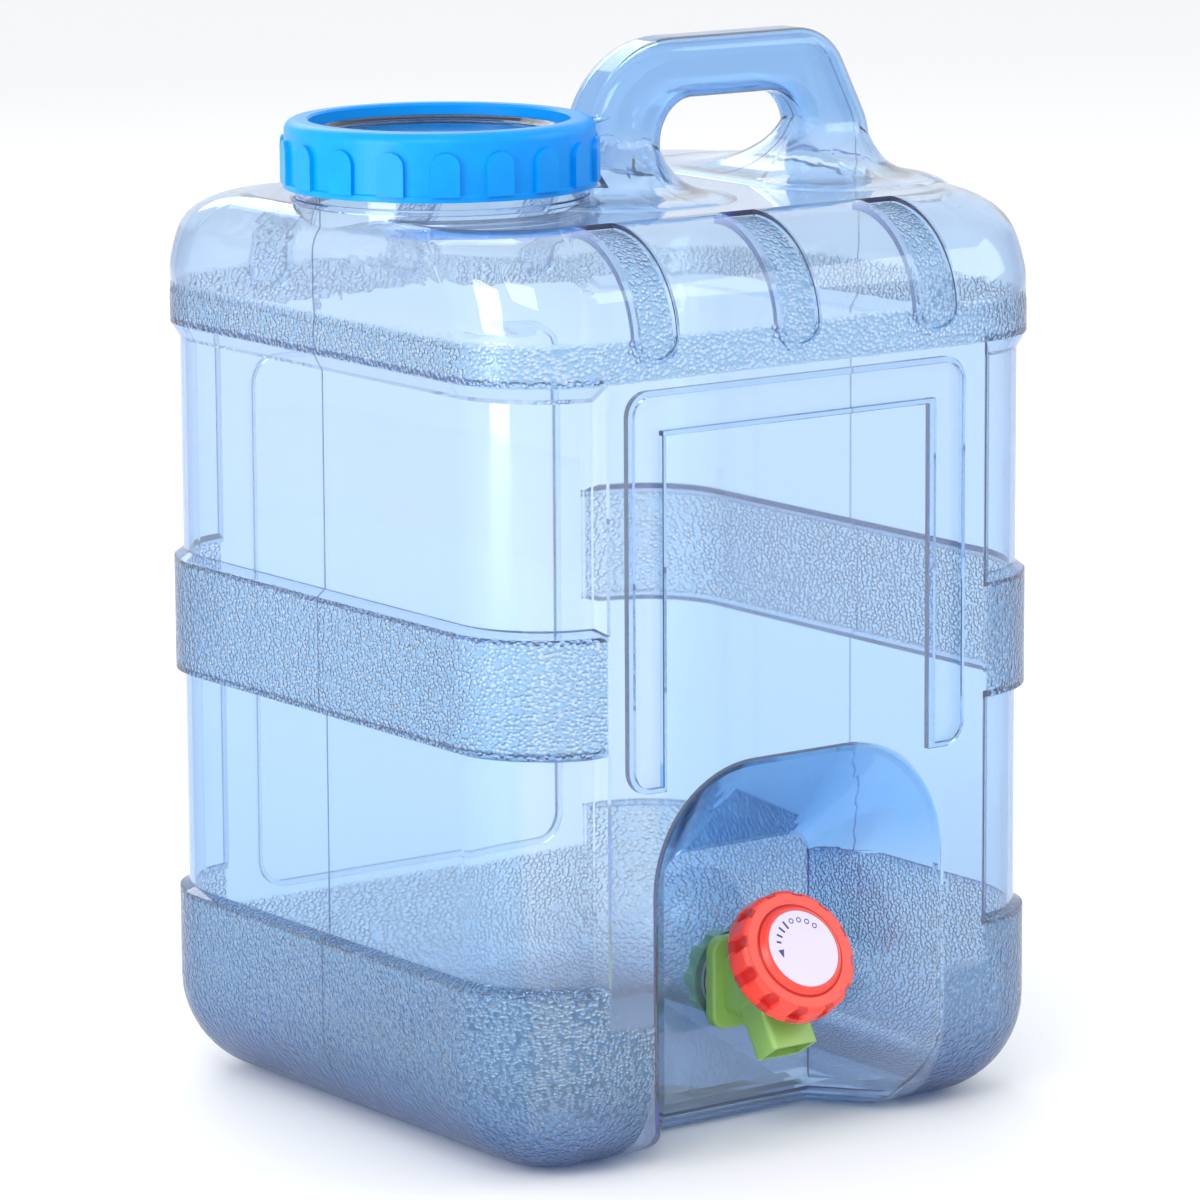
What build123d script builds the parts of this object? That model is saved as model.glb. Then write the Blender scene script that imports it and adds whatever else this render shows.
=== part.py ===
from build123d import *
import math
import os

# Large water jug: a square blow-moulded bottle with a hollow carrying handle, a wide screw-ring lid
# and a screw-down tap in an arched recess. Millimetres. Origin: centre of the base, on the surface
# that the jug stands on. +Z is up, -Y is the front (tap side), +X is the handle side.

# ---- bottle ----
HALF = 125.0              # half the width and depth, over the raised bands
CORNER = 40.0             # radius of the upright corners
FOOT = 38.0               # rounding where the walls meet the base
SHOULDER = 39.0           # rounding where the front and back meet the deck
END_SHOULDER = 14.0       # tighter rounding where the side walls meet the deck
DECK_CORNER = 34.0        # plan radius of the corners at the deck
SHOULDER_STEPS = 8
DECK = 338.5              # height of the flat top
SHOULDER_Z = DECK - SHOULDER      # where the shoulder's rounding starts
WALL = 2.0                # moulded wall thickness
SUNK = 3.5                # how far the smooth zones lie behind the bands
GAPS = [(72.0, 73.5, 155.0, 156.5), (199.2, 202.0, 282.0, 288.0)]   # smooth zones, lip to lip
PANEL_HALF = 85.0         # half width of the raised front and back panels
PANEL_SLOPE = 4.0         # run of a panel's sloping side
STRAP_OUT, STRAP_IN = 74.0, 61.5  # outer and inner half width of the moulded U on the front
STRAP_TOP, STRAP_FOOT = 282.0, 142.0
STRAP_DEEP = 2.6
STRAP_ROUND = 7.0
LABEL_HALF, LABEL_LOW, LABEL_HIGH, LABEL_DEEP = 70.0, 62.0, 267.0, 2.0
LABEL_ROUND = 10.0
RIB_X = (-63.0, 0.0, 63.0)        # shoulder flutes, front and back
RIB_WIDE, RIB_LOW, RIB_DEEP = 16.0, 295.0, 2.2

# ---- tap recess ----
ARCH_HALF, ARCH_TOP, ARCH_ROUND = 64.0, 145.5, 44.0
ARCH_FLARE = 2.0          # soft edge where the recess meets the front
BACK_HALF, BACK_TOP, BACK_ROUND = 33.0, 106.0, 9.0
BACK_Y = -86.0            # outer face of the recess's back wall
TOE = 14.0                # rounding of the recess's walls into the base
TOE_STEPS = 6

# ---- neck and handle ----
NECK_X = -69.0
NECK_R = 52.6
NECK_TOP = 361.0
BEAD_R, BEAD_LOW, BEAD_HIGH = 54.4, 339.9, 342.1
GRIP_TOP = 392.8
GRIP_LEFT = -8.5
GRIP_THICK = 24.0
GRIP_ROUND = 7.0
HOLE_X = (25.0, 93.0)
HOLE_Z = (337.8, 370.0)
HOLE_ROUND = 15.8
CAP_ROOM_R, CAP_ROOM_Z = 60.5, 342.5   # space kept free for the lid's ring

# ---- lid ----
THREAD_LEAD = 6.0
THREAD_TURNS = 1.5
THREAD_Z = 349.5          # where the neck's thread starts
RING_LOW, RING_HIGH = 345.2, 369.7
RING_R, RING_BORE, RING_MOUTH = 56.5, 55.0, 47.6
RING_SEAT = 364.7         # underside of the ring's top, on the disc
RIB_COUNT, RIB_OUT, RIB_W, RIB_TOP, RIB_PHASE = 18, 58.2, 10.3, 363.0, 17.3
DISC_R, DISC_LOW, DISC_HIGH = 54.0, 362.6, 364.6

# ---- tap ----
TAP_Z = 56.0              # height of the tap's inlet
TILT = 32.0               # knob axis above the horizontal, degrees
SEAT = Vector(0, -96.4, TAP_Z)    # where the knob axis crosses the inlet axis
BODY_HALF = 10.3
INLET_R, THREAD_R = 9.0, 10.0
HOLE_R = 10.4             # hole in the recess's back wall
GASKET = 1.5
FLANGE = (30.0, 34.5, 4.5)
NUT_R, NUT_THICK, NUT_LOBES = 17.0, 6.6, 10
BORE_R = 8.0
SPOUT_FROM, SPOUT_TO, SPOUT_LONG = -1.5, 12.5, 29.0
STEM_R = 4.6
KNOB_BACK, KNOB_FACE, KNOB_R = 21.3, 32.5, 24.4
FLUTES, FLUTE_R, FLUTE_AT, FLUTE_PHASE = 12, 5.0, 27.5, 11.0
BADGE_R, BADGE_LOW, BADGE_HIGH = 14.7, 34.2, 35.3
RUN = 0.06                # radial running clearance

KNOB_DIR = Vector(0, -math.cos(math.radians(TILT)), math.sin(math.radians(TILT)))
TAP_AXIS = Plane(origin=SEAT, x_dir=(1, 0, 0), z_dir=KNOB_DIR)   # local z runs out along the knob
FRONT = Plane(origin=(0, 0, 0), x_dir=(1, 0, 0), z_dir=(0, -1, 0))
INLET = Plane(origin=(0, 0, TAP_Z), x_dir=(1, 0, 0), z_dir=(0, -1, 0))


def save(node, name):
    node.label = name
    export_step(node, f"parts/{name}.step")


def tube(plane, r_out, r_in, low, high):
    """Ring or, with r_in of 0, a disc along a plane's normal."""
    face = Circle(r_out) - Circle(r_in) if r_in else Circle(r_out)
    return extrude(plane.offset(low) * face, high - low)


def turned(plane, points):
    """Solid turned about a plane's normal from (radius, height) points."""
    profile = Plane.XZ * make_face(Polyline(*points, close=True))
    return plane.location * revolve(profile, Axis.Z)


def thread(root, crest, at, turns, lead, width):
    """One helical ridge about +Z, from radius root to radius crest."""
    path = Helix(pitch=lead, height=lead * turns, radius=root, center=(0, 0, at))
    start = Plane(origin=path @ 0, x_dir=(1, 0, 0), z_dir=path % 0)
    bite = 0.3 if crest < root else -0.3
    rise = crest - root
    profile = Polyline((bite, -width), (rise, -width * 0.45), (rise, width * 0.45), (bite, width), close=True)
    return sweep(start * make_face(profile), path=path, is_frenet=True)


# ================= bottle =================

def square(half, corner, z):
    return Plane.XY.offset(z) * RectangleRounded(2 * half, 2 * half, corner)


def shoulder(inset):
    """Top of the bottle: a wide rounding front and back, a tight one at the two sides."""
    half, wide, tight = HALF - inset, SHOULDER - inset, END_SHOULDER - inset
    sections = []
    for step in range(SHOULDER_STEPS + 1):
        angle = math.pi / 2 * step / SHOULDER_STEPS
        z = SHOULDER_Z + wide * math.sin(angle)
        rise = max(0.0, z - (DECK - END_SHOULDER))
        half_x = half - tight + math.sqrt(max(0.0, tight ** 2 - rise ** 2))
        half_y = half - wide + wide * math.cos(angle)
        corner = CORNER - inset - (CORNER - DECK_CORNER) * step / SHOULDER_STEPS
        sections.append(Plane.XY.offset(z) * RectangleRounded(2 * half_x, 2 * half_y, corner))
    return loft(sections)


def block(inset):
    """Square bottle form with rounded corners, foot and shoulder."""
    walls = extrude(square(HALF - inset, CORNER - inset, inset), SHOULDER_Z - inset)
    walls = fillet(walls.edges().group_by(Axis.Z)[0], FOOT - inset)
    return walls + shoulder(inset)


def panel(side, inset, low, high):
    """Raised panel on the front (side -1) or back (side 1), with sloping sides."""
    near, far = 6.0, 30.0
    slope = PANEL_SLOPE / SUNK
    edge = PANEL_HALF - 1.2 * inset
    outline = Polyline((-edge + near * slope, side * (HALF + near)), (edge - near * slope, side * (HALF + near)),
                       (edge + far * slope, side * (HALF - far)), (-edge - far * slope, side * (HALF - far)),
                       close=True)
    return extrude(Plane.XY.offset(low) * make_face(outline), high - low)


def smooth_zone(lips, inset, front, back):
    """What is taken off between two bands, all round except on the panels."""
    z1, z2, z3, z4 = lips[0] - inset, lips[1] - inset, lips[2] + inset, lips[3] + inset
    wide, slim = HALF - inset, HALF - SUNK - inset
    steps = [(wide, z1), (slim, z2), (slim, z3), (wide, z4)]
    core = loft([square(half, CORNER - HALF + half, z) for half, z in steps], ruled=True)
    zone = Pos(0, 0, (z1 + z4) / 2) * Box(2 * HALF + 20, 2 * HALF + 20, z4 - z1) - core
    if front:
        zone -= panel(-1, inset, 0, DECK)
    if back:
        zone -= panel(1, inset, 0, DECK)
    return zone


def strap(inset):
    """Moulded inverted U on the front panel."""
    out, top, foot = STRAP_OUT + inset, STRAP_TOP + inset, STRAP_FOOT - inset
    inner, head = STRAP_IN - inset, STRAP_TOP - (STRAP_OUT - STRAP_IN) - inset
    shape = Pos(0, (top + foot) / 2) * RectangleRounded(2 * out, top - foot, STRAP_ROUND + inset)
    shape -= Pos(0, (head + foot) / 2 - 20) * Rectangle(2 * inner, head - foot + 40)
    return extrude(FRONT.offset(HALF - STRAP_DEEP - inset) * shape, STRAP_DEEP + inset + 5)


def label(inset):
    """Shallow rounded field on the back panel."""
    tall = LABEL_HIGH - LABEL_LOW + 2 * inset
    shape = RectangleRounded(2 * (LABEL_HALF + inset), tall, LABEL_ROUND + inset)
    middle = Pos(0, HALF - LABEL_DEEP - inset, (LABEL_HIGH + LABEL_LOW) / 2)
    return middle * extrude(Plane.XZ * shape, -(LABEL_DEEP + inset + 5))


def flutes(inset):
    """Round-ended flutes that run over the shoulder, three in front and three behind."""
    centre = HALF - SHOULDER
    outer, inner = SHOULDER + 3, SHOULDER - RIB_DEEP - inset
    ring = Circle(outer) - Circle(inner)
    ring &= Pos(outer / 2, outer / 2) * Rectangle(outer, outer)
    drop = Pos((outer + inner) / 2, -20) * Rectangle(outer - inner, 40)
    profile = ring + drop
    tools = []
    for side in (-1, 1):
        path = Plane(origin=(0, side * centre, DECK - SHOULDER), x_dir=(0, side, 0), z_dir=(side, 0, 0))
        for x in RIB_X:
            half = RIB_WIDE / 2 + inset
            strip = extrude(path * profile, half, both=True)
            gate = Pos(0, RIB_LOW - inset + half) * Circle(half)
            gate += Pos(0, RIB_LOW - inset + half + 40) * Rectangle(2 * half, 80)
            wall = extrude(Plane.XZ * gate, 2 * HALF, both=True)
            tools.append(Pos(x, 0, 0) * (strip & wall))
    return tools


def arch(half, top, corner):
    low = -20.0
    return make_face([
        Line((-half, low), (-half, top - corner)),
        ThreePointArc((-half, top - corner),
                      (-half + corner * (1 - math.sqrt(0.5)), top - corner * (1 - math.sqrt(0.5))),
                      (-half + corner, top)),
        Line((-half + corner, top), (half - corner, top)),
        ThreePointArc((half - corner, top),
                      (half - corner * (1 - math.sqrt(0.5)), top - corner * (1 - math.sqrt(0.5))),
                      (half, top - corner)),
        Line((half, top - corner), (half, low)),
        Line((half, low), (-half, low)),
    ])


def recess(inset):
    """Arched scoop for the tap, with slanting cheeks and roof and a rounded toe."""
    side, roof = 1.25 * inset, 1.35 * inset
    deep = -BACK_Y - inset
    rows = [
        (HALF + 1.0, ARCH_HALF + ARCH_FLARE * 2, ARCH_TOP + ARCH_FLARE * 2, ARCH_ROUND + ARCH_FLARE),
        (HALF - 0.4, ARCH_HALF + ARCH_FLARE * 0.5, ARCH_TOP + ARCH_FLARE * 0.5, ARCH_ROUND),
        (HALF - 2.5, ARCH_HALF - 1.2, ARCH_TOP - 1.4, ARCH_ROUND - 1),
        (deep, BACK_HALF, BACK_TOP, BACK_ROUND),
    ]
    sections = [FRONT.offset(y) * arch(half + side, top + roof, corner + inset) for y, half, top, corner in rows]
    scoop = loft(sections, ruled=True)
    return scoop + toe(inset)


def toe(inset):
    """Quarter-round taken off the foot of the recess's walls."""
    rows = []
    for step in range(TOE_STEPS + 1):
        angle = math.pi / 2 * step / TOE_STEPS
        grow = TOE * (1 - math.cos(angle))
        rows.append((inset + TOE * (1 - math.sin(angle)), grow + inset))
    rows.append((inset - 6.0, TOE + inset))
    rows = sorted(set(rows))
    slant = (ARCH_HALF - BACK_HALF) / (HALF + BACK_Y)
    reach = 20.0
    faces = []
    for z, grow in rows:
        near, far = -HALF - reach, BACK_Y + grow
        back = BACK_HALF + grow * 0.75
        front = back + (far - near) * slant
        shape = make_face(Polyline((-back, far), (back, far), (front, near), (-front, near), close=True))
        faces.append(Plane.XY.offset(z) * shape)
    return loft(faces, ruled=True)


# ================= handle and neck =================

def grip_outline(inset):
    """Side view of the handle and of its finger hole."""
    low = SHOULDER_Z - 4
    corners = [(GRIP_LEFT, low), (GRIP_LEFT, GRIP_TOP), (104.5, GRIP_TOP), (123.6, 355.0), (HALF - 0.6, low)]
    line = FilletPolyline(*corners, radius=[41.0, 22.0, 30.0])
    outer = make_face([*line.edges(), Line(corners[-1], corners[0])])
    (x1, x2), (z1, z2) = HOLE_X, HOLE_Z
    hole = Pos((x1 + x2) / 2, (z1 + z2) / 2) * RectangleRounded(x2 - x1, z2 - z1, HOLE_ROUND)
    if inset:
        outer = offset(outer, -inset)
        hole = offset(hole, inset)
    return outer, hole


def leg_skirt(sections, inset):
    """Leg that spreads into the deck; a section is (z, x from, x to, half depth, corner, slope share)."""
    faces = []
    for z, x1, x2, deep, corner, share in sections:
        wide, tall = x2 - x1 - 2 * inset, 2 * (deep - inset)
        faces.append(Plane.XY.offset(z - inset * share) * Pos((x1 + x2) / 2, 0)
                     * RectangleRounded(wide, tall, corner - inset))
    return loft(faces)


def handle(inset):
    """Hollow carrying handle along X, with broad skirted feet."""
    outer, hole = grip_outline(inset)
    thick = GRIP_THICK - 2 * inset
    side = Plane.XZ.offset(-thick / 2)
    bar = extrude(side * outer, thick) - extrude(side * hole, thick)
    ends = bar.faces().filter_by(Axis.Y)
    foot = bar.bounding_box().min.Z + 0.5
    edges = [e for e in ends.edges() if e.center().Z > foot]
    bar = fillet(edges, GRIP_ROUND - inset)
    right = leg_skirt([(334.0, 42.0, 124.4, 84.0, 38.0, 1.0), (339.6, 58.0, 124.4, 56.0, 30.0, 1.0),
                       (343.5, 76.0, 124.2, 27.0, 18.0, 0.8), (352.0, 88.0, 123.2, 14.5, 11.0, 0.4),
                       (366.0, 93.2, 117.0, 11.8, 8.0, 0.4)], inset)
    left = leg_skirt([(334.0, -58.0, 32.0, 84.0, 38.0, 1.0), (339.6, -40.0, 28.0, 56.0, 28.0, 1.0),
                      (343.5, -18.0, 26.0, 27.0, 16.0, 0.8), (352.0, -9.0, 25.2, 14.5, 11.0, 0.4),
                      (366.0, -8.3, 24.8, 11.8, 8.0, 0.4)], inset)
    room = Pos(NECK_X, 0, CAP_ROOM_Z - inset + 40) * Cylinder(CAP_ROOM_R + inset, 80)
    return [bar, right, left - room]


def bottle_form(inset):
    """The whole bottle, drawn in from its outer face by the inset."""
    form = block(inset)
    form -= smooth_zone(GAPS[0], inset, True, True)
    form -= smooth_zone(GAPS[1], inset, True, True)
    form -= strap(inset)
    form -= label(inset)
    for tool in flutes(inset):
        form -= tool
    for piece in handle(inset):
        form += piece
    top = NECK_TOP if inset == 0 else NECK_TOP + 30
    form += Pos(NECK_X, 0, (300 + top) / 2) * Cylinder(NECK_R - inset, top - 300)
    if inset == 0:
        form += bead()
    form -= recess(inset)
    return form


def bead():
    """Bead round the neck, under the lid."""
    edge = 0.5
    profile = Polyline((NECK_R - 4, BEAD_LOW), (BEAD_R - edge, BEAD_LOW), (BEAD_R, BEAD_LOW + edge),
                       (BEAD_R, BEAD_HIGH - edge), (BEAD_R - edge, BEAD_HIGH), (NECK_R - 4, BEAD_HIGH), close=True)
    return Pos(NECK_X, 0, 0) * revolve(Plane.XZ * make_face(profile), Axis.Z)


def jug_body():
    shell = bottle_form(0) - bottle_form(WALL)
    shell += Pos(NECK_X, 0, 0) * thread(NECK_R, NECK_R + 1.9, THREAD_Z, THREAD_TURNS, THREAD_LEAD, 1.5)
    return shell - tube(INLET, HOLE_R, 0, -BACK_Y - 12, -BACK_Y + 12)


# ================= lid =================

def cap_ring():
    """Screw ring with grip ribs, open in the middle."""
    crown = 3.0
    profile = make_face([
        Line((RING_BORE, RING_LOW), (RING_R + 0.6, RING_LOW)),
        Line((RING_R + 0.6, RING_LOW), (RING_R + 0.6, RING_LOW + 2)),
        Line((RING_R + 0.6, RING_LOW + 2), (RING_R, RING_LOW + 2.6)),
        Line((RING_R, RING_LOW + 2.6), (RING_R, RING_HIGH - crown - 1)),
        ThreePointArc((RING_R, RING_HIGH - crown - 1), (RING_R - 1.3, RING_HIGH - 1.1), (RING_R - 4.4, RING_HIGH)),
        Line((RING_R - 4.4, RING_HIGH), (RING_MOUTH + 0.8, RING_HIGH)),
        Line((RING_MOUTH + 0.8, RING_HIGH), (RING_MOUTH, RING_HIGH - 0.8)),
        Line((RING_MOUTH, RING_HIGH - 0.8), (RING_MOUTH, RING_SEAT)),
        Line((RING_MOUTH, RING_SEAT), (RING_BORE, RING_SEAT)),
        Line((RING_BORE, RING_SEAT), (RING_BORE, RING_LOW)),
    ])
    ring = revolve(Plane.XZ * profile, Axis.Z)
    tall = RIB_TOP - RING_LOW - 2
    rib = Rectangle(RIB_W, tall - RIB_W / 2)
    rib = Pos(0, -RIB_W / 4) * rib + Pos(0, tall / 2 - RIB_W / 2) * Circle(RIB_W / 2)
    bar = Pos(RING_R - 0.8, 0, RING_LOW + 2 + tall / 2) * extrude(Plane.YZ * rib, RIB_OUT + 0.6 - RING_R)
    outside = Pos(0, 0, RING_LOW) * Cylinder(RIB_OUT, 60)
    for number in range(RIB_COUNT):
        ring += Rot(0, 0, RIB_PHASE + number * 360 / RIB_COUNT) * (bar & outside)
    ring += thread(RING_BORE, RING_BORE - 1.7, THREAD_Z - THREAD_LEAD / 2, THREAD_TURNS, THREAD_LEAD, 1.5)
    return Pos(NECK_X, 0, 0) * ring


def cap_disc():
    """Clear disc that the ring clamps on the neck, with a stiffening ring and a dished middle."""
    plate = turned(Plane.XY, [(0, DISC_LOW), (DISC_R, DISC_LOW), (DISC_R, DISC_HIGH), (46.5, DISC_HIGH),
                              (45.0, DISC_HIGH + 1.2), (43.0, DISC_HIGH + 1.2), (41.5, DISC_HIGH),
                              (36.0, DISC_HIGH - 0.4), (0, DISC_HIGH - 0.4)])
    plug = tube(Plane.XY, NECK_R - WALL - 0.6, NECK_R - WALL - 2.6, DISC_LOW - 5, DISC_LOW)
    return Pos(NECK_X, 0, 0) * (plate + plug)


def cap_gasket():
    return Pos(NECK_X, 0, 0) * tube(Plane.XY, NECK_R + 0.8, NECK_R - WALL - 0.3, NECK_TOP, DISC_LOW)


# ================= tap =================

def tap_body():
    """Flange, threaded inlet, valve chamber and square spout, moulded in one."""
    back = -BACK_Y + GASKET
    wide, tall, thick = FLANGE
    flange = extrude(INLET.offset(back) * RectangleRounded(wide, tall, 6.0), thick)
    flange = fillet(flange.faces().sort_by(Axis.Y)[0].edges(), 1.2)
    bridge = extrude(INLET.offset(back + thick - 1) * RectangleRounded(2 * BODY_HALF, 2 * BODY_HALF + 2, 4.0), 10)
    chamber = TAP_AXIS * (Pos(0, 0, 6.75) * Box(2 * BODY_HALF, 2 * BODY_HALF, 20.5))
    chamber = fillet(chamber.edges(), 2.5)
    collar = tube(TAP_AXIS, BODY_HALF, 0, 10, 20)
    middle = (SPOUT_FROM + SPOUT_TO) / 2
    deep = SPOUT_TO - SPOUT_FROM
    spout = TAP_AXIS * (Pos(0, -SPOUT_LONG / 2, middle) * Box(20.0, SPOUT_LONG, deep))
    spout = fillet(spout.edges().filter_by(Axis(SEAT, TAP_AXIS.y_dir)), 2.2)
    inlet = tube(INLET, INLET_R, 0, -BACK_Y - 16, back + 2)
    body = flange + bridge + chamber + collar + spout + inlet
    turns = 3.5
    ridge = thread(INLET_R, THREAD_R, 0, turns, 3.0, 0.9)
    body += Plane(origin=(0, BACK_Y + 15.5, TAP_Z), x_dir=(1, 0, 0), z_dir=(0, -1, 0)) * ridge
    body -= tube(INLET, INLET_R - 3, 0, -BACK_Y - 20, -SEAT.Y - 1.5)
    body -= tube(TAP_AXIS, 5.0, 0, -5, 2)
    body -= tube(TAP_AXIS, BORE_R, 0, 1.5, 25)
    body -= TAP_AXIS * (Pos(0, -8, 6.5) * Box(12.0, 16, 8.0))
    lower = SPOUT_LONG - 10
    body -= TAP_AXIS * (Pos(0, -10.5 - lower / 2, middle) * Box(16.6, lower, deep - 3.2))
    return body


def tap_lock_nut():
    """Scalloped nut inside the bottle that clamps the tap."""
    near = -BACK_Y - WALL - GASKET
    nut = tube(INLET, NUT_R, THREAD_R + 0.2, near - NUT_THICK, near)
    for number in range(NUT_LOBES):
        angle = math.radians(18 + number * 360 / NUT_LOBES)
        notch = Plane(origin=INLET.origin + Vector(19.6 * math.cos(angle), 0, 19.6 * math.sin(angle)),
                      x_dir=(1, 0, 0), z_dir=(0, -1, 0))
        nut -= tube(notch, 4.2, 0, near - NUT_THICK - 1, near - 1.4)
    return nut


def valve_bonnet():
    """Guide that closes the valve chamber round the stem."""
    return turned(TAP_AXIS, [(STEM_R + RUN, 15.4), (BORE_R, 15.4), (BORE_R, 20.0), (9.6, 20.0), (9.6, 21.4),
                             (8.8, 22.0), (STEM_R + RUN, 22.0)])


def valve_stem():
    """Turning stem: piston with a ring groove, shaft and square end for the knob."""
    stem = turned(TAP_AXIS, [(0, 6.6), (7.6, 6.6), (7.6, 7.9), (6.4, 7.9), (6.4, 9.7), (7.6, 9.7), (7.6, 10.8),
                             (STEM_R, 10.8), (STEM_R, 24.4), (0, 24.4)])
    stem += TAP_AXIS * (Pos(0, 0, 27.15) * Box(6.3, 6.3, 5.5))
    stem -= tube(TAP_AXIS, 2.0 + RUN, 0, 6.0, 13.6)
    return stem - tube(TAP_AXIS, 1.5, 0, 19.0, 31.0)


def stem_o_ring():
    return TAP_AXIS * (Pos(0, 0, 8.8) * Torus(7.18, 0.76))


def valve_jumper():
    """Plunger that lifts with the stem without turning."""
    return turned(TAP_AXIS, [(0, 3.5), (7.5, 3.5), (7.5, 5.6), (6.6, 6.5), (2.0, 6.5), (2.0, 13.2), (0, 13.2)])


def valve_washer():
    return turned(TAP_AXIS, [(0, 1.5), (6.2, 1.5), (6.8, 2.1), (6.8, 3.5), (0, 3.5)])


def tap_knob():
    """Hollow fluted knob with a raised centre for the badge."""
    profile = make_face([
        Line((21.8, KNOB_BACK), (KNOB_R - 0.6, KNOB_BACK)),
        ThreePointArc((KNOB_R - 0.6, KNOB_BACK), (KNOB_R - 0.1, KNOB_BACK + 0.9), (KNOB_R, KNOB_BACK + 2.0)),
        Line((KNOB_R, KNOB_BACK + 2.0), (KNOB_R - 0.5, KNOB_FACE - 2.2)),
        ThreePointArc((KNOB_R - 0.5, KNOB_FACE - 2.2), (KNOB_R - 1.2, KNOB_FACE - 0.6), (KNOB_R - 2.8, KNOB_FACE)),
        Line((KNOB_R - 2.8, KNOB_FACE), (17.6, KNOB_FACE)),
        Line((17.6, KNOB_FACE), (15.8, BADGE_HIGH - 0.4)),
        Line((15.8, BADGE_HIGH - 0.4), (BADGE_R + 0.1, BADGE_HIGH - 0.2)),
        Line((BADGE_R + 0.1, BADGE_HIGH - 0.2), (BADGE_R + 0.1, BADGE_LOW)),
        Line((BADGE_R + 0.1, BADGE_LOW), (4.2, BADGE_LOW)),
        Line((4.2, BADGE_LOW), (4.2, 31.2)),
        Line((4.2, 31.2), (1.7, 31.2)),
        Line((1.7, 31.2), (1.7, 24.6)),
        Line((1.7, 24.6), (7.2, 24.6)),
        Line((7.2, 24.6), (7.2, 30.0)),
        Line((7.2, 30.0), (20.6, 30.0)),
        Line((20.6, 30.0), (21.8, 28.0)),
        Line((21.8, 28.0), (21.8, KNOB_BACK)),
    ])
    knob = revolve(Plane.XZ * profile, Axis.Z)
    for number in range(FLUTES):
        angle = math.radians(FLUTE_PHASE + number * 360 / FLUTES)
        at = Pos(FLUTE_AT * math.cos(angle), FLUTE_AT * math.sin(angle), KNOB_BACK + 4.6 + 10)
        knob -= at * Cylinder(FLUTE_R, 20)
    knob -= Pos(0, 0, 27.3) * Box(6.5, 6.5, 5.4)
    return TAP_AXIS.location * knob


def knob_badge():
    return turned(TAP_AXIS, [(0, BADGE_LOW), (BADGE_R, BADGE_LOW), (BADGE_R, BADGE_HIGH - 0.3),
                             (BADGE_R - 0.4, BADGE_HIGH), (0, BADGE_HIGH)])


def knob_screw():
    """Self-tapping screw that holds the knob on the stem, under the badge."""
    screw = turned(TAP_AXIS, [(0, 20.5), (1.45, 22.0), (1.45, 31.2), (3.4, 31.2), (3.4, 32.6), (2.6, 33.4), (0, 33.4)])
    for angle in (0, 90):
        screw -= TAP_AXIS * (Pos(0, 0, 33.2) * Rot(0, 0, angle) * Box(3.6, 0.9, 1.6))
    return screw


def tap_gasket(low):
    return tube(INLET, 14.2, THREAD_R + 0.5, low, low + GASKET)


if __name__ == "__main__":
    os.makedirs("parts", exist_ok=True)
    save(jug_body(), "jug_body")
    save(cap_ring(), "cap_ring")
    save(cap_disc(), "cap_disc")
    save(cap_gasket(), "cap_gasket")
    save(tap_body(), "tap_body")
    save(tap_gasket(-BACK_Y), "tap_outer_gasket")
    save(tap_gasket(-BACK_Y - WALL - GASKET), "tap_inner_gasket")
    save(tap_lock_nut(), "tap_lock_nut")
    save(valve_bonnet(), "valve_bonnet")
    save(valve_stem(), "valve_stem")
    save(stem_o_ring(), "stem_o_ring")
    save(valve_jumper(), "valve_jumper")
    save(valve_washer(), "valve_washer")
    save(tap_knob(), "tap_knob")
    save(knob_badge(), "knob_badge")
    save(knob_screw(), "knob_screw")
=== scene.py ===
import math

import bpy
from mathutils import Matrix, Vector


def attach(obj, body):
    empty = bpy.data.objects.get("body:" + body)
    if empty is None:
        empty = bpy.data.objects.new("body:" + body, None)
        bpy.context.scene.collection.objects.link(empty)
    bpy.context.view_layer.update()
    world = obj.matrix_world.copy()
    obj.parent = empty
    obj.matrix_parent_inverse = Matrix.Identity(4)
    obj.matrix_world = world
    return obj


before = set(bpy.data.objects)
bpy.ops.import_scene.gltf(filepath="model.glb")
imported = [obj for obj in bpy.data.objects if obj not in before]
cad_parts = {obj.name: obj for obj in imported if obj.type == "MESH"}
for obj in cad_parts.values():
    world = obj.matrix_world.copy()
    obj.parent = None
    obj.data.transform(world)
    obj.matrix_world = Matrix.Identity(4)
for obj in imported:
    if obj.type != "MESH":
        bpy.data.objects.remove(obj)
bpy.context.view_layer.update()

MM = 0.001

# ---- where things are on the jug, in metres ----
HALF = 125 * MM                      # half width over the bands
MIDDLE = (0, 0, 160 * MM)            # inside the bottle, at half height
PANEL, PANEL_SUNK = 86 * MM, 6 * MM  # half width of the front and back panels, and their depth
LOW_BAND_TOP = 72 * MM
PANEL_TEXTURE_TOP = 56 * MM
MID_BAND = (156 * MM, 199.2 * MM)
TOP_BAND = (288 * MM, 302.5 * MM)
DECK = (325 * MM, 344 * MM)          # rounded top, up to the flat deck
GRIP_FROM = 352 * MM
RECESS_HALF, RECESS_TOP, RECESS_BACK = 66.5 * MM, 150 * MM, -40 * MM
ROOF_FROM, BEHIND_PANEL = 96 * MM, -113.5 * MM
FLUTE_XS = (-63 * MM, 0.0, 63 * MM)
FLUTE_HALF, FLUTE_LOW, FLUTE_DEEP = 7.6 * MM, 295 * MM, 87 * MM
SEAM_HALF, SEAM_FROM = 0.42 * MM, 60 * MM    # the mould's parting line down both sides
SIDE_FROM = 112 * MM

PEBBLE_SIZE, PEBBLE_DEPTH = 1.7 * MM, 0.5 * MM
LINE_EDGE = 0.8 * MM                 # softness of the edge between pebbled and smooth

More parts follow.
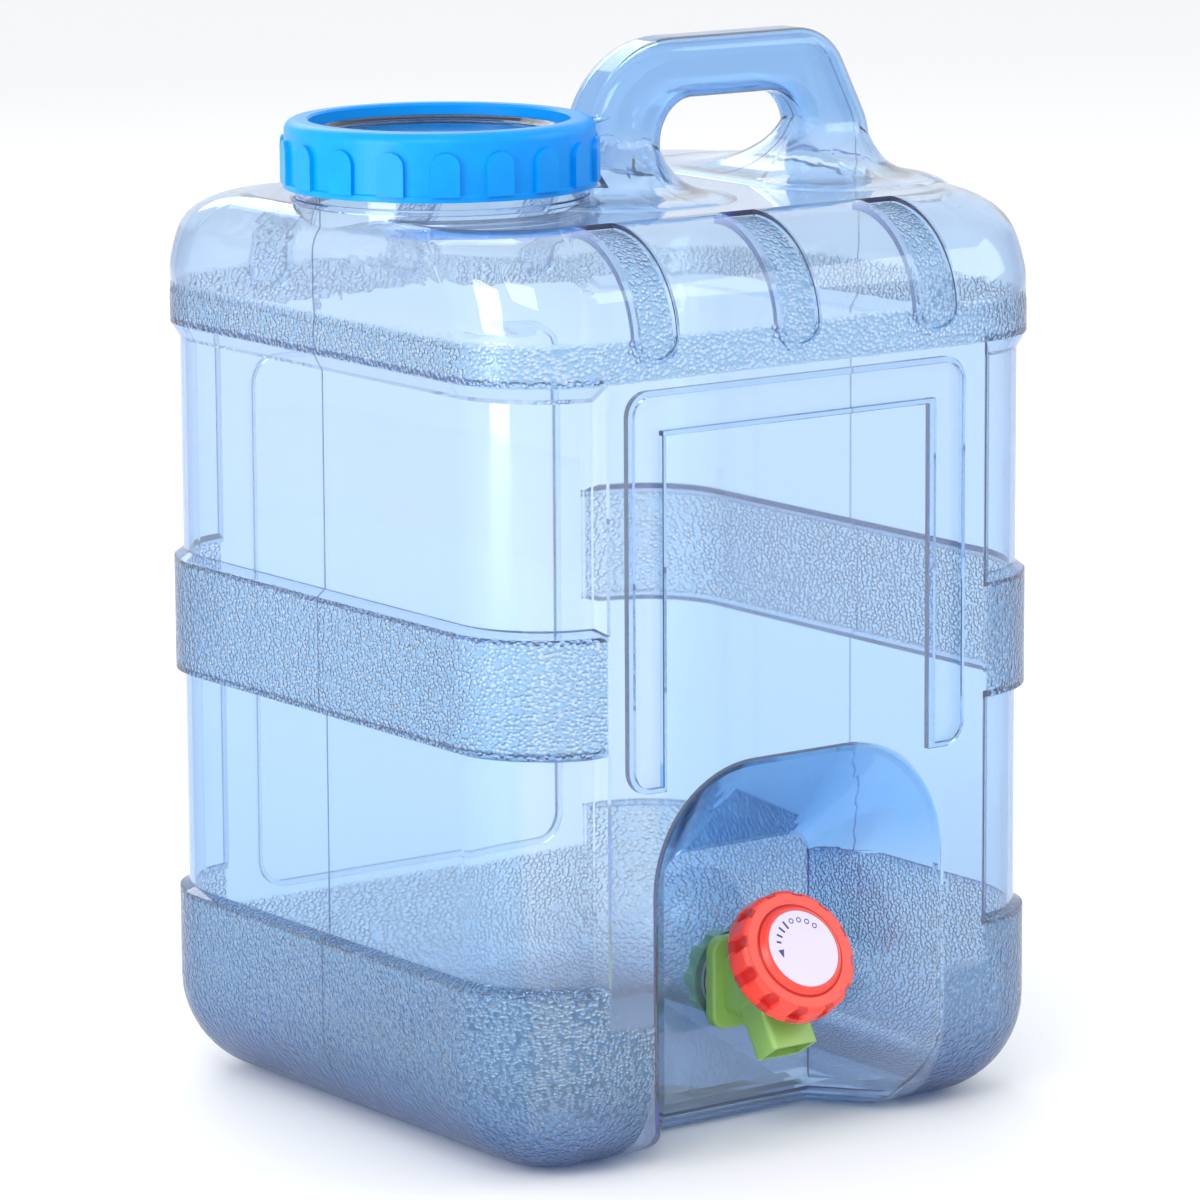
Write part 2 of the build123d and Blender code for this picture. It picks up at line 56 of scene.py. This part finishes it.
# ---- colours, linear ----
CLEAR = (0.93, 0.975, 1.0, 1)
# painted shade in the pebble's valleys
PEBBLE_PAINTED_SHADE = (0.38, 0.60, 0.76, 1)
SEAM_SHADE = (0.12, 0.20, 0.34, 1)
# painted shade towards the foot, for the darker look through the curved base
FOOT_PAINTED_SHADE = (0.22, 0.36, 0.62, 1)
# painted shade on the side walls, stronger towards the bottom
SIDE_PAINTED_SHADE = (0.78, 0.92, 1.0, 1)
# painted shade under the roof of the tap's recess
ROOF_PAINTED_SHADE = (0.50, 0.76, 1.0, 1)
GRIP_TINT = (0.72, 0.87, 1.0, 1)
# painted shade where the wall is seen edge on, standing in for long paths through the plastic
EDGE_PAINTED_SHADE = (0.06, 0.17, 0.44, 1)
DEPTH_BLUE, DEPTH_DENSITY = (0.14, 0.54, 0.95, 1), 130.0    # what the wall's thickness takes away
INK, INK_WORN = (0.045, 0.03, 0.16), (0.06, 0.045, 0.20)

# ---- camera ----
CAMERA_AT = Vector((-1.344705, -1.848977, 0.615922))
CAMERA_AIM = Vector((0.0011, -0.0008, 0.1837))
CAMERA_LENS, CAMERA_SENSOR = 186.67, 36.0
CAMERA_ROLL = -0.313


# ================= shader helpers =================

class Nodes:
    """A node tree with short calls to add and join nodes."""

    def __init__(self, tree):
        self.tree = tree

    def add(self, kind, **settings):
        node = self.tree.nodes.new(kind)
        for name, value in settings.items():
            setattr(node, name, value)
        return node

    def put(self, value, socket):
        if isinstance(value, bpy.types.NodeSocket):
            self.tree.links.new(value, socket)
        else:
            socket.default_value = value

    def math(self, operation, a, b=None, c=None, clamp=False):
        node = self.add("ShaderNodeMath", operation=operation, use_clamp=clamp)
        for socket, value in zip(node.inputs, (a, b, c)):
            if value is not None:
                self.put(value, socket)
        return node.outputs[0]

    def times(self, *values):
        product = values[0]
        for value in values[1:]:
            product = self.math("MULTIPLY", product, value)
        return product

    def most(self, *values):
        highest = values[0]
        for value in values[1:]:
            highest = self.math("MAXIMUM", highest, value)
        return highest

    def rest(self, value):
        return self.math("SUBTRACT", 1.0, value)

    def between(self, value, low, high, soft):
        """1 where low < value < high, with edges of the given softness."""
        up = self.step(value, low, soft)
        down = self.step(value, high, soft)
        return self.math("SUBTRACT", up, down, clamp=True)

    def step(self, value, edge, soft):
        """0 before the edge and 1 past it, or the other way round where soft is negative."""
        node = self.add("ShaderNodeMapRange", interpolation_type="SMOOTHSTEP")
        self.put(value, node.inputs["Value"])
        node.inputs["From Min"].default_value = edge - soft / 2
        node.inputs["From Max"].default_value = edge + soft / 2
        return node.outputs["Result"]

    def split(self, vector):
        node = self.add("ShaderNodeSeparateXYZ")
        self.put(vector, node.inputs[0])
        return node.outputs

    def minus(self, vector, point):
        node = self.add("ShaderNodeVectorMath", operation="SUBTRACT")
        self.put(vector, node.inputs[0])
        node.inputs[1].default_value = point
        return node.outputs[0]

    def dot(self, a, b):
        node = self.add("ShaderNodeVectorMath", operation="DOT_PRODUCT")
        self.put(a, node.inputs[0])
        self.put(b, node.inputs[1])
        return node.outputs["Value"]

    def mix(self, factor, a, b, blend="MIX"):
        node = self.add("ShaderNodeMix", data_type="RGBA", blend_type=blend)
        self.put(factor, node.inputs["Factor"])
        self.put(a, node.inputs["A"])
        self.put(b, node.inputs["B"])
        return node.outputs["Result"]


def new_group(name, ins, outs):
    """A shader node group with named sockets, given as (name, kind, default)."""
    tree = bpy.data.node_groups.new(name, "ShaderNodeTree")
    for label, kind, value in ins:
        socket = tree.interface.new_socket(label, in_out="INPUT", socket_type=kind)
        if value is not None:
            socket.default_value = value
    for label, kind in outs:
        tree.interface.new_socket(label, in_out="OUTPUT", socket_type=kind)
    n = Nodes(tree)
    return n, n.add("NodeGroupInput").outputs, n.add("NodeGroupOutput").inputs


def pebble_group():
    """Fine leather-like grain of a spark-eroded mould."""
    n, given, out = new_group(
        "pebble_grain",
        [("Position", "NodeSocketVector", None), ("Size", "NodeSocketFloat", 0.0016)],
        [("Height", "NodeSocketFloat")])
    grains = n.add("ShaderNodeTexVoronoi", voronoi_dimensions="3D", feature="F1")
    n.put(given["Position"], grains.inputs["Vector"])
    n.put(n.math("DIVIDE", 1.0, given["Size"]), grains.inputs["Scale"])
    n.put(n.step(grains.outputs["Distance"], 0.48, -0.5), out["Height"])
    return n.tree


def grain_group():
    """Faint unevenness of a moulded gloss surface, as a height and a roughness change."""
    n, given, out = new_group(
        "moulded_skin",
        [("Position", "NodeSocketVector", None), ("Size", "NodeSocketFloat", 0.01),
         ("Roughness", "NodeSocketFloat", 0.3), ("Spread", "NodeSocketFloat", 0.08)],
        [("Roughness", "NodeSocketFloat"), ("Height", "NodeSocketFloat")])
    noise = n.add("ShaderNodeTexNoise", noise_dimensions="3D")
    n.put(given["Position"], noise.inputs["Vector"])
    n.put(n.math("DIVIDE", 1.0, given["Size"]), noise.inputs["Scale"])
    noise.inputs["Detail"].default_value = 3.0
    swing = n.math("SUBTRACT", noise.outputs["Fac"], 0.5)
    n.put(n.math("MULTIPLY_ADD", swing, given["Spread"], given["Roughness"]), out["Roughness"])
    n.put(noise.outputs["Fac"], out["Height"])
    return n.tree


PEBBLE = pebble_group()
SKIN = grain_group()


def new_material(name):
    material = bpy.data.materials.new(name)
    material.use_nodes = True
    n = Nodes(material.node_tree)
    shader = material.node_tree.nodes["Principled BSDF"]
    where = n.add("ShaderNodeTexCoord").outputs["Object"]
    return material, n, shader, where


def place_group(n, tree, **values):
    node = n.add("ShaderNodeGroup", node_tree=tree)
    for name, value in values.items():
        n.put(value, node.inputs[name])
    return node.outputs


def bump(n, shader, height, strength, distance):
    node = n.add("ShaderNodeBump")
    n.put(height, node.inputs["Height"])
    node.inputs["Strength"].default_value = strength
    node.inputs["Distance"].default_value = distance
    n.put(node.outputs["Normal"], shader.inputs["Normal"])


# ================= materials =================

def outer_face(n, where):
    """1 on the bottle's outer faces, 0 on the faces towards its hollow."""
    geometry = n.add("ShaderNodeNewGeometry")
    outward = n.dot(geometry.outputs["Normal"], n.minus(where, MIDDLE))
    turn = n.math("MULTIPLY_ADD", geometry.outputs["Backfacing"], -2.0, 1.0)
    return n.step(n.times(outward, turn), 0.0, 2 * MM)


def recess_zone(n, wide, y, z):
    """1 in the arched recess that the tap stands in."""
    return n.times(n.step(wide, RECESS_HALF, -LINE_EDGE), n.step(z, RECESS_TOP, -LINE_EDGE),
                   n.step(y, RECESS_BACK, -LINE_EDGE))


def band_zone(n, wide, deep, z):
    """1 on the low, middle and top bands."""
    off_panel = n.rest(n.times(n.step(wide, PANEL, -LINE_EDGE),
                               n.step(deep, HALF - PANEL_SUNK, LINE_EDGE)))
    low_on_panel = n.step(z, PANEL_TEXTURE_TOP, -4 * MM)
    low = n.times(n.step(z, LOW_BAND_TOP, -LINE_EDGE), n.most(low_on_panel, off_panel))
    middle = n.times(n.between(z, *MID_BAND, LINE_EDGE), off_panel)
    top = n.times(n.step(z, TOP_BAND[0], LINE_EDGE), n.step(z, TOP_BAND[1], -3 * MM))
    return n.most(low, middle, top)


def flute_zone(n, x, deep, z):
    """1 in the three flutes over each of the front and back shoulders."""
    strips = []
    for centre in FLUTE_XS:
        off = n.math("ABSOLUTE", n.math("SUBTRACT", x, centre))
        strips.append(n.step(off, FLUTE_HALF, -0.6 * MM))
    return n.times(n.most(*strips), n.step(z, FLUTE_LOW, LINE_EDGE), n.step(deep, FLUTE_DEEP, LINE_EDGE))


def roof_shade_zone(n, y, z, in_recess):
    """1 on the upper part of the recess, where painted shade goes, and 0 on the panel in front of it."""
    facing = n.split(n.add("ShaderNodeNewGeometry").outputs["Normal"])
    turned_in = n.step(n.math("ABSOLUTE", facing["Y"]), 0.9, -0.16)
    high = n.step(z, ROOF_FROM, 50 * MM)
    return n.times(in_recess, high, n.most(turned_in, n.step(y, BEHIND_PANEL, 3 * MM)))


def edge_shade_zone(n, z):
    """Painted shade that rises where the wall is seen edge on, except on the deck."""
    grazing = n.add("ShaderNodeLayerWeight")
    grazing.inputs["Blend"].default_value = 0.5
    rim = n.times(n.math("POWER", grazing.outputs["Facing"], 2.4), 0.95)
    return n.times(rim, n.rest(n.between(z, *DECK, 4 * MM)))


def bottle_plastic():
    """Clear blue polycarbonate, pebbled on the bands and in the shoulder flutes, with painted shade in
    the pebble's valleys, towards the foot, low on the sides, under the recess roof and where the wall is
    seen edge on.
    """
    material, n, shader, where = new_material("bottle_clear_blue")
    shader.inputs["Transmission Weight"].default_value = 0.93
    shader.inputs["IOR"].default_value = 1.5
    x, y, z = n.split(where)
    wide, deep = n.math("ABSOLUTE", x), n.math("ABSOLUTE", y)
    outside = outer_face(n, where)
    in_recess = recess_zone(n, wide, y, z)
    off_recess = n.rest(in_recess)
    pebbled = n.most(band_zone(n, wide, deep, z), flute_zone(n, x, deep, z))
    pebbled = n.times(pebbled, off_recess, outside)
    seam = n.times(n.step(deep, SEAM_HALF, -0.3 * MM), n.step(wide, SEAM_FROM, 4 * MM), outside)

    grain = place_group(n, PEBBLE, Position=where, Size=PEBBLE_SIZE)["Height"]
    skin = place_group(n, SKIN, Position=where, Size=18 * MM, Roughness=0.03, Spread=0.03)
    n.put(n.math("MULTIPLY_ADD", pebbled, 0.11, skin["Roughness"]), shader.inputs["Roughness"])
    height = n.math("ADD", n.times(grain, pebbled), n.times(seam, 0.7))
    bump(n, shader, height, 1.0, PEBBLE_DEPTH)

    # painted shade, darker towards the bottom on the outer faces
    foot_shade = n.times(n.step(z, 22 * MM, -52 * MM), outside, off_recess)
    # painted shade on the side walls, stronger towards the bottom
    side_shade = n.times(n.step(wide, SIDE_FROM, 4 * MM), n.step(z, 190 * MM, -220 * MM))
    # painted shade in the pebble's valleys; the peaks keep the clear colour
    tone = n.mix(n.times(pebbled, n.rest(grain)), CLEAR, PEBBLE_PAINTED_SHADE)
    tone = n.mix(n.times(seam, 0.85), tone, SEAM_SHADE)
    tone = n.mix(foot_shade, tone, FOOT_PAINTED_SHADE, "MULTIPLY")
    # painted shade under the recess roof
    tone = n.mix(roof_shade_zone(n, y, z, in_recess), tone, ROOF_PAINTED_SHADE, "MULTIPLY")
    tone = n.mix(n.step(z, GRIP_FROM, 24 * MM), tone, GRIP_TINT, "MULTIPLY")
    tone = n.mix(side_shade, tone, SIDE_PAINTED_SHADE, "MULTIPLY")
    # painted shade where the wall is seen edge on
    tone = n.mix(edge_shade_zone(n, z), tone, EDGE_PAINTED_SHADE)
    n.put(tone, shader.inputs["Base Color"])

    depth = n.add("ShaderNodeVolumeAbsorption")
    depth.inputs["Color"].default_value = DEPTH_BLUE
    depth.inputs["Density"].default_value = DEPTH_DENSITY
    output = material.node_tree.nodes["Material Output"]
    n.put(depth.outputs[0], output.inputs["Volume"])
    return material


def moulded(name, colour, deep_colour, rough=0.32, size=6 * MM, shine=0.5):
    """Coloured plastic straight from the mould, slightly uneven in tone and gloss."""
    material, n, shader, where = new_material(name)
    shader.inputs["Specular IOR Level"].default_value = shine
    skin = place_group(n, SKIN, Position=where, Size=size, Roughness=rough, Spread=0.12)
    tone = n.mix(skin["Height"], (*deep_colour, 1), (*colour, 1))
    n.put(tone, shader.inputs["Base Color"])
    n.put(skin["Roughness"], shader.inputs["Roughness"])
    bump(n, shader, skin["Height"], 0.5, 0.03 * MM)
    return material


def dress(names, material):
    for name in names:
        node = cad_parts[name]
        if not node.material_slots:
            node.data.materials.append(material)
        for slot in node.material_slots:
            slot.material = material


dress(["jug_body"], bottle_plastic())
dress(["cap_ring"], moulded("lid_blue", (0.0, 0.31, 0.88), (0.0, 0.25, 0.80), shine=0.2))
dress(["tap_body"], moulded("tap_green", (0.31, 0.55, 0.13), (0.27, 0.49, 0.11)))
dress(["tap_lock_nut"], moulded("nut_green", (0.13, 0.40, 0.23), (0.10, 0.34, 0.19)))
dress(["knob_badge"], moulded("badge_lilac", (0.68, 0.62, 0.84), (0.65, 0.59, 0.81), rough=0.4))
dress(["valve_bonnet", "valve_stem", "valve_jumper"],
      moulded("valve_white", (0.8, 0.8, 0.78), (0.7, 0.7, 0.68)))
dress(["cap_gasket", "tap_outer_gasket", "tap_inner_gasket", "stem_o_ring", "valve_washer"],
      moulded("seal_rubber", (0.72, 0.74, 0.75), (0.62, 0.64, 0.66), rough=0.55))


def clear_disc():
    """Clear plastic of the lid's disc, slightly grey."""
    material, n, shader, where = new_material("lid_clear")
    skin = place_group(n, SKIN, Position=where, Size=20 * MM, Roughness=0.05, Spread=0.04)
    shader.inputs["Base Color"].default_value = (0.66, 0.65, 0.76, 1)
    shader.inputs["Transmission Weight"].default_value = 1.0
    shader.inputs["IOR"].default_value = 1.5
    n.put(skin["Roughness"], shader.inputs["Roughness"])
    bump(n, shader, skin["Height"], 0.3, 0.1 * MM)
    return material


def steel():
    """Bright steel of the screw under the badge."""
    material, n, shader, where = new_material("screw_steel")
    skin = place_group(n, SKIN, Position=where, Size=0.5 * MM, Roughness=0.3, Spread=0.2)
    shader.inputs["Base Color"].default_value = (0.55, 0.55, 0.57, 1)
    shader.inputs["Metallic"].default_value = 1.0
    n.put(skin["Roughness"], shader.inputs["Roughness"])
    return material


dress(["cap_disc"], clear_disc())
dress(["knob_screw"], steel())


# ================= knob =================

TILT = math.radians(32)
KNOB_OUT = Vector((0, -math.cos(TILT), math.sin(TILT)))
KNOB_UP = Vector((0, math.sin(TILT), math.cos(TILT)))
KNOB_SEAT = Vector((0, -96.4 * MM, 56 * MM))
KNOB_ACROSS = Vector((1, 0, 0))
KNOB_NOTCHES, FIRST_NOTCH, NOTCH_FROM = 12, math.radians(11), 21.9 * MM
DIAL_RING, DIAL_LOW = (17.3 * MM, 17.9 * MM), 31 * MM
KNOB_RED = (0.95, 0.075, 0.045, 1)
KNOB_RED_DEEP = (0.88, 0.055, 0.035, 1)
KNOB_PAINTED_SHADE = (0.52, 0.012, 0.012, 1)     # painted shade in the grip notches and the fine ring round the badge

BADGE_FACE = KNOB_SEAT + KNOB_OUT * 35.3 * MM
BADGE_TURN = Matrix((KNOB_ACROSS, KNOB_UP, KNOB_OUT)).transposed().to_4x4()
BADGE_FRAME = Matrix.Translation(BADGE_FACE) @ BADGE_TURN
PRINT_HIGH = 0.12 * MM


def knob_plastic():
    """Red plastic, with painted shade in the grip notches and in the fine ring round the badge."""
    material, n, shader, where = new_material("knob_red")
    skin = place_group(n, SKIN, Position=where, Size=6 * MM, Roughness=0.3, Spread=0.12)
    place = n.minus(where, KNOB_SEAT)
    across, up, out = (n.dot(place, axis) for axis in (KNOB_ACROSS, KNOB_UP, KNOB_OUT))
    radius = n.math("SQRT", n.math("ADD", n.times(across, across), n.times(up, up)))
    turn = n.math("SUBTRACT", n.math("ARCTAN2", up, across), FIRST_NOTCH)
    wave = n.math("COSINE", n.times(turn, float(KNOB_NOTCHES)))
    notch = n.times(n.step(wave, 0.45, 0.4), n.step(radius, NOTCH_FROM, 0.8 * MM))
    ring = n.times(n.between(radius, *DIAL_RING, 0.3 * MM), n.step(out, DIAL_LOW, 1 * MM))
    # painted shade in the notches and the ring, also used as a bump below
    painted_shade = n.most(n.times(notch, 0.75), ring)
    tone = n.mix(skin["Height"], KNOB_RED_DEEP, KNOB_RED)
    n.put(n.mix(painted_shade, tone, KNOB_PAINTED_SHADE), shader.inputs["Base Color"])
    n.put(skin["Roughness"], shader.inputs["Roughness"])
    bump(n, shader, n.times(painted_shade, -1.0), 0.8, 0.5 * MM)
    return material


dress(["tap_knob"], knob_plastic())


# ================= marks on the knob's badge =================

def on_badge(piece, angle, radius):
    """Turns a mark made flat at the origin, pointing along +X, to its place on the badge."""
    spin = Matrix.Rotation(math.radians(angle), 4, "Z")
    piece.matrix_world = BADGE_FRAME @ spin @ Matrix.Translation((radius, 0, 0)) @ piece.matrix_world
    bpy.ops.object.select_all(action="DESELECT")
    piece.select_set(True)
    bpy.context.view_layer.objects.active = piece
    bpy.ops.object.transform_apply(location=True, rotation=True, scale=True)
    return piece


def bar_mark(angle, radius, long, wide):
    """Printed bar across the dial, with rounded ends."""
    bpy.ops.object.select_all(action="DESELECT")
    bpy.ops.mesh.primitive_cube_add(size=1)
    bar = bpy.context.object
    bar.scale = (long, wide, PRINT_HIGH)
    bpy.ops.object.transform_apply(location=False, rotation=False, scale=True)
    bevel = bar.modifiers.new("soft_ends", "BEVEL")
    bevel.width, bevel.segments = wide * 0.3, 2
    bpy.ops.object.modifier_apply(modifier=bevel.name)
    return on_badge(bar, angle, radius)


def arrow_mark(angle, radius):
    """Printed arrow head that points anticlockwise."""
    bpy.ops.object.select_all(action="DESELECT")
    bpy.ops.mesh.primitive_cone_add(vertices=3, radius1=1.75 * MM, radius2=1.7 * MM, depth=PRINT_HIGH)
    head = bpy.context.object
    head.scale = (0.85, 1.25, 1)
    bpy.ops.object.transform_apply(location=False, rotation=False, scale=True)
    return on_badge(head, angle, radius)


def ring_mark(angle, radius):
    """Printed ring, flat on the badge."""
    bpy.ops.object.select_all(action="DESELECT")
    bpy.ops.mesh.primitive_torus_add(major_radius=0.85 * MM, minor_radius=0.2 * MM,
                                     major_segments=28, minor_segments=8)
    ring = bpy.context.object
    ring.scale = (1, 1, 0.4)
    bpy.ops.object.transform_apply(location=False, rotation=False, scale=True)
    return on_badge(ring, angle, radius)


def badge_print():
    """Arrow, bars that grow towards open, and four rings, as one printed piece on the badge."""
    marks = [arrow_mark(181, 10.1 * MM)]
    for step, angle in enumerate((159, 145, 130, 115)):
        marks.append(bar_mark(angle, 10.6 * MM, (2.0 + 0.45 * step) * MM, 0.85 * MM))
    for angle in (98, 80, 62, 44):
        marks.append(ring_mark(angle, 10.9 * MM))
    bpy.ops.object.select_all(action="DESELECT")
    for mark in marks:
        mark.select_set(True)
    bpy.context.view_layer.objects.active = marks[0]
    bpy.ops.object.join()
    marks[0].name = "badge_print"
    marks[0].data.name = "badge_print"
    marks[0].data.materials.clear()
    marks[0].data.materials.append(moulded("badge_ink", INK, INK_WORN, rough=0.45, size=1.5 * MM))
    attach(marks[0], "knob")


badge_print()


# ================= studio =================

LAMPS = (                            # name, place, size, power
    ("key", (-1.6, -1.6, 2.2), (1.2, 1.2), 18),
    ("fill", (1.8, -1.2, 1.4), (1.2, 1.2), 10),
    ("rim", (0.6, 2.2, 1.8), (1.5, 1.5), 16),
    ("strip", (-1.7, -0.25, 0.45), (0.7, 1.6), 22),
)
LAMP_AIM = Vector((0, 0, 0.18))


def studio():
    """White floor and air, and four soft lamps turned to the jug."""
    bpy.ops.mesh.primitive_plane_add(size=14, location=(0, 0, 0))
    floor = bpy.context.object
    floor.name = "floor"
    material = bpy.data.materials.new("floor_white")
    material.use_nodes = True
    shader = material.node_tree.nodes["Principled BSDF"]
    shader.inputs["Base Color"].default_value = (0.93, 0.93, 0.94, 1)
    shader.inputs["Roughness"].default_value = 0.6
    floor.data.materials.append(material)

    world = bpy.data.worlds.new("studio_air")
    bpy.context.scene.world = world
    world.use_nodes = True
    air = world.node_tree.nodes["Background"]
    air.inputs["Color"].default_value = (0.97, 0.985, 1.0, 1)
    air.inputs["Strength"].default_value = 1.0

    for name, place, size, power in LAMPS:
        light = bpy.data.lights.new(name, "AREA")
        light.shape = "RECTANGLE"
        light.size, light.size_y = size
        light.energy = power
        lamp = bpy.data.objects.new(name, light)
        lamp.location = place
        lamp.rotation_euler = (LAMP_AIM - Vector(place)).to_track_quat("-Z", "Y").to_euler()
        bpy.context.scene.collection.objects.link(lamp)


def camera():
    """Long lens at the front left corner, a little above the jug."""
    lens = bpy.data.cameras.new("view")
    lens.lens = CAMERA_LENS
    lens.sensor_width = CAMERA_SENSOR
    seat = bpy.data.objects.new("view", lens)
    aim = (CAMERA_AIM - CAMERA_AT).to_track_quat("-Z", "Y").to_matrix().to_4x4()
    roll = Matrix.Rotation(math.radians(CAMERA_ROLL), 4, "Z")
    seat.matrix_world = Matrix.Translation(CAMERA_AT) @ aim @ roll
    bpy.context.scene.collection.objects.link(seat)
    bpy.context.scene.camera = seat


studio()
camera()
bpy.context.scene.view_settings.view_transform = "Standard"
